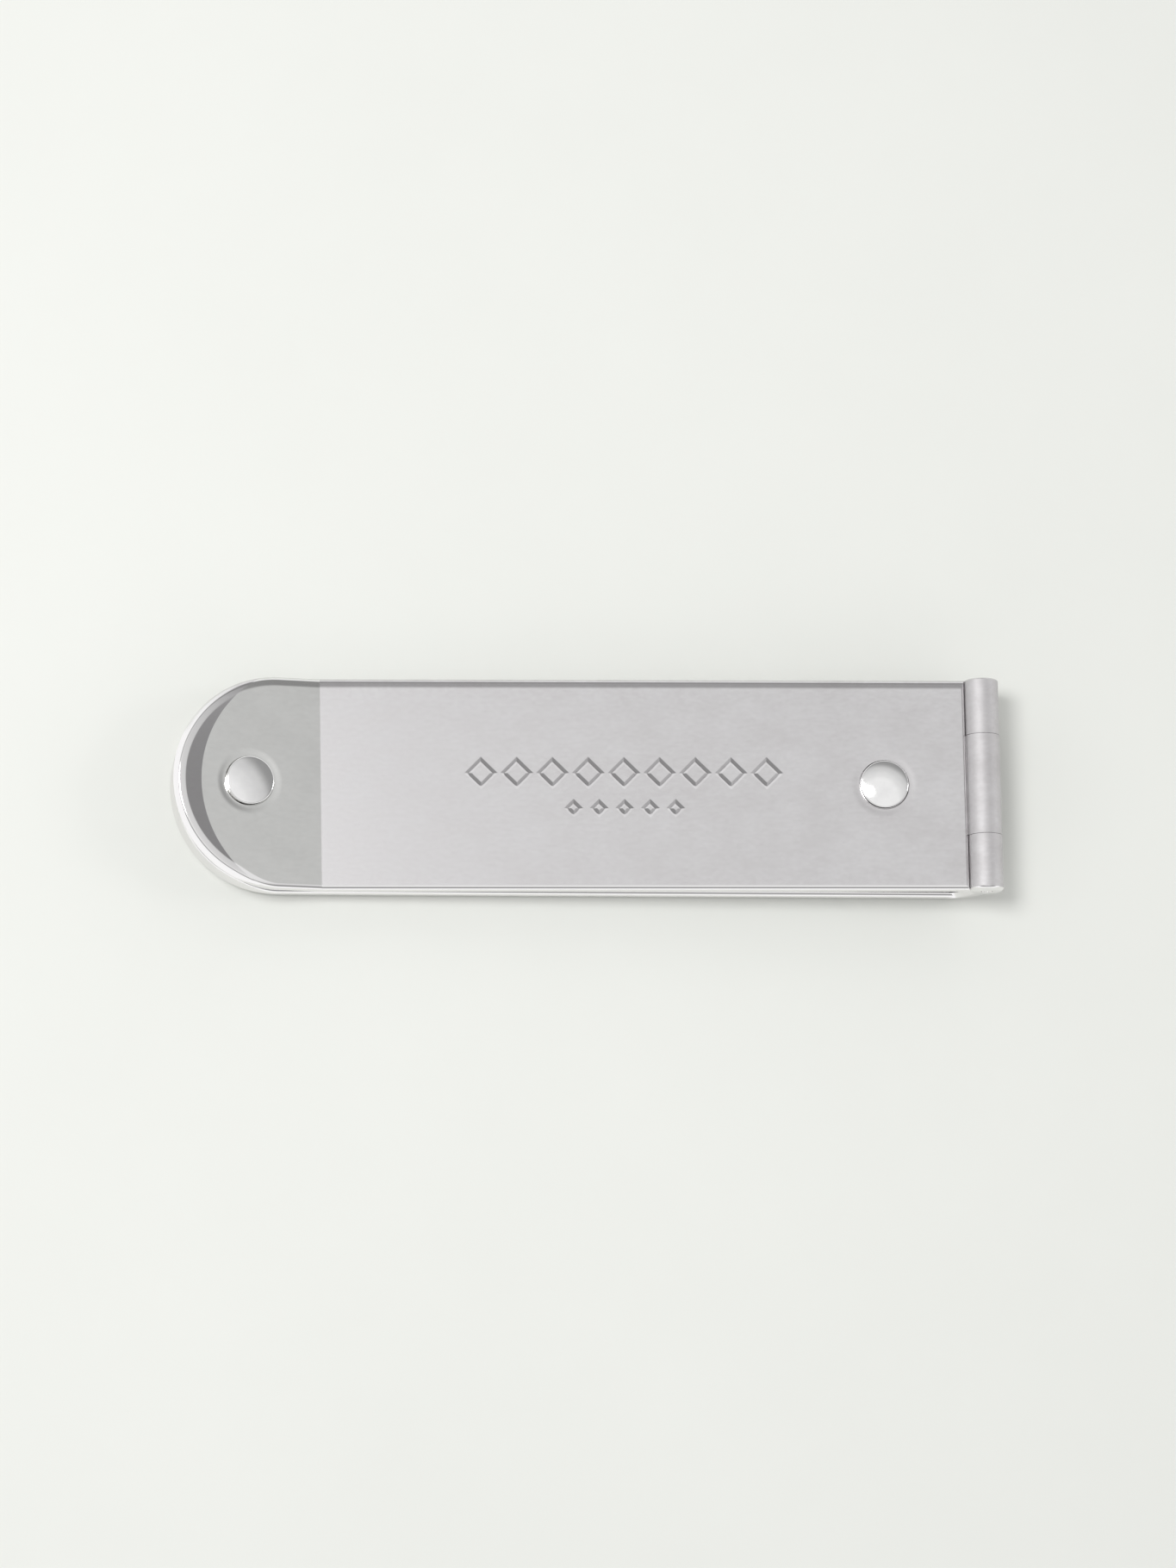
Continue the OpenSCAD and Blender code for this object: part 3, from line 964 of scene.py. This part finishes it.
def make_camera():
    """Camera whose picture is FRAME_HEIGHT tall at the point that it aims at."""
    back = Vector((-tan(CAMERA_LEFT), -tan(CAMERA_FRONT), 1)).normalized()
    right = (-back).cross(Vector((0, 1, 0))).normalized()
    up = right.cross(-back)
    rolled = cos(CAMERA_ROLL) * right + sin(CAMERA_ROLL) * up
    tall = cos(CAMERA_ROLL) * up - sin(CAMERA_ROLL) * right
    data = bpy.data.cameras.new("camera")
    data.lens = data.sensor_width * CAMERA_DISTANCE / FRAME_HEIGHT
    data.clip_start = 0.01
    camera = bpy.data.objects.new("camera", data)
    place = (Vector(AIM) + CAMERA_DISTANCE * back) * MM
    turn = Matrix((rolled, tall, back)).transposed().to_4x4()
    camera.matrix_world = Matrix.Translation(place) @ turn
    bpy.context.scene.collection.objects.link(camera)
    bpy.context.scene.camera = camera


def make_world():
    """Studio dome whose brightness depends only on the angle from its axis."""
    world = bpy.data.worlds.new("studio")
    world.use_nodes = True
    tree = world.node_tree
    source = tree.nodes.new("ShaderNodeTexCoord")
    dot = tree.nodes.new("ShaderNodeVectorMath")
    dot.operation = "DOT_PRODUCT"
    dot.inputs[1].default_value = Vector(DOME_AXIS).normalized()
    angle = tree.nodes.new("ShaderNodeMath")
    angle.operation = "ARCCOSINE"
    scale = tree.nodes.new("ShaderNodeMath")
    scale.operation = "DIVIDE"
    scale.inputs[1].default_value = pi
    ramp = tree.nodes.new("ShaderNodeValToRGB")
    tree.links.new(source.outputs["Generated"], dot.inputs[0])
    tree.links.new(dot.outputs["Value"], angle.inputs[0])
    tree.links.new(angle.outputs["Value"], scale.inputs[0])
    tree.links.new(scale.outputs["Value"], ramp.inputs["Fac"])
    ramp.color_ramp.interpolation = "EASE"
    points = ramp.color_ramp.elements
    while len(points) < len(DOME):
        points.new(0.5)
    for point, (at, level) in zip(points, DOME):
        point.position = at / 180
        point.color = (level, level, level, 1)
    background = tree.nodes["Background"]
    background.inputs["Strength"].default_value = DOME_STRENGTH
    tree.links.new(ramp.outputs["Color"], background.inputs["Color"])
    bpy.context.scene.world = world


def make_light(name, direction, distance, size, radiance):
    """Round soft light that faces the origin from a direction. The radiance is in the world's units."""
    data = bpy.data.lights.new(name, "AREA")
    data.shape = "DISK"
    data.size = size * MM
    data.energy = radiance * pi * pi * (size * MM / 2) ** 2
    lamp = bpy.data.objects.new(name, data)
    toward = Vector(direction).normalized()
    lamp.location = toward * distance * MM
    lamp.rotation_mode = "QUATERNION"
    lamp.rotation_quaternion = toward.to_track_quat("Z", "Y")
    bpy.context.scene.collection.objects.link(lamp)


def make_floor():
    """Table top just below the clip."""
    signs = [(-1, -1), (1, -1), (1, 1), (-1, 1)]
    corners = [(FLOOR_HALF * i, FLOOR_HALF * j, -FLOOR_DROP) for i, j in signs]
    floor = make_object("floor", corners, [(0, 1, 2, 3)])
    floor.data.materials.append(pale_floor())


# ---------------------------------------------------------------- scene
make_camera()
make_world()
make_light("key_softbox", (-0.41, 0.11, 0.905), 370, 152, 11.9)
make_light("side_softbox", (0.88, 0.1, 0.47), 500, 130, 5.4)
make_light("overhead_spot", (-0.175, 0.07, 1.0), 700, 150, 1.5)
make_floor()
bpy.context.scene.view_settings.view_transform = "Standard"

satin = satin_plate()
upper = build_upper_plate()
mark_surface(upper, True)
shade_exactly(upper, upper_top, upper_bottom)
dress(upper, satin, "arm", "upper_plate")
lower = build_lower_plate()
mark_surface(lower, False)
shade_exactly(lower, lower_side(1), lower_side(-1))
dress(lower, satin, "base", "lower_plate")
dress(build_leaf_spring(), spring_strip(), "arm", "leaf_spring")
rivet_metal = polished_metal("polished_rivet", (6, 6, 6))
for rivet in RIVETS:
    dress(build_rivet(rivet), rivet_metal, "arm", rivet["node"])
dress(build_pin(), polished_metal("polished_pin", (9, 0.5, 9)), "base", "hinge_pin")
